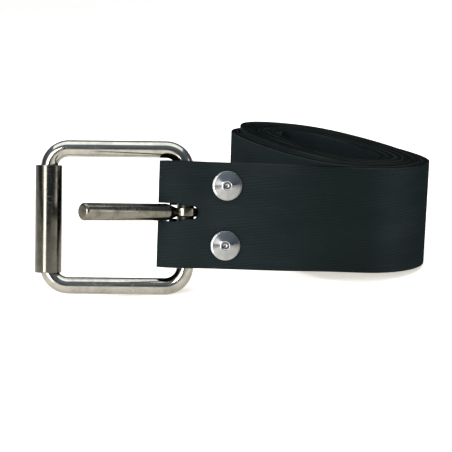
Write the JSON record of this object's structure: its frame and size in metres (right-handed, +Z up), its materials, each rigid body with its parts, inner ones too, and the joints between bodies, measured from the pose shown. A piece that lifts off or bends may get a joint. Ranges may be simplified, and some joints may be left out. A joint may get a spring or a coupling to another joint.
{
  "type": "dive weight belt",
  "caption": "Flat rubber dive weight belt rolled into an oval coil on its edge, with a wire roller buckle riveted into its folded free end.",
  "frame": {"origin": "on the surface the belt stands on, below the middle of its bounding box", "axes": "+X from the buckle along the front run, +Y from the front run towards the back of the coil, +Z up"},
  "size_m": [0.1908, 0.169, 0.0731],
  "materials": {
    "strap_rubber": "matte moulded rubber with a fine lengthwise fabric imprint",
    "polished_steel": "polished stainless steel, lightly scuffed",
    "worn_steel": "plain bar steel with a dull brownish cast"
  },
  "bodies": {
    "belt": {"strap": "strap_rubber", "rivet_cap_upper": "polished_steel", "rivet_cap_lower": "polished_steel", "rivet_post_upper": "polished_steel", "rivet_post_lower": "polished_steel", "back_washer_upper": "polished_steel", "back_washer_lower": "polished_steel"},
    "frame": {"buckle_frame": "polished_steel"},
    "roller_tube": {"roller": "polished_steel"},
    "tongue": {"prong": "worn_steel"}
  },
  "joints": [
    {"name": "buckle_swing", "type": "hinge", "parent": "belt", "child": "frame", "pos_m": [-0.02328, -0.04388, 0.03461], "axis": [0.0579, 0.2281, 0.9719], "range_deg": [-38, 38]},
    {"name": "prong_swing", "type": "hinge", "parent": "frame", "child": "tongue", "pos_m": [-0.02328, -0.04388, 0.03461], "axis": [0.0579, 0.2281, 0.9719], "range_deg": [-33, 35]},
    {"name": "roller_spin", "type": "hinge", "parent": "frame", "child": "roller_tube", "pos_m": [-0.08761, -0.04442, 0.03754], "axis": [0.0579, 0.2281, 0.9719], "continuous": true}
  ]
}
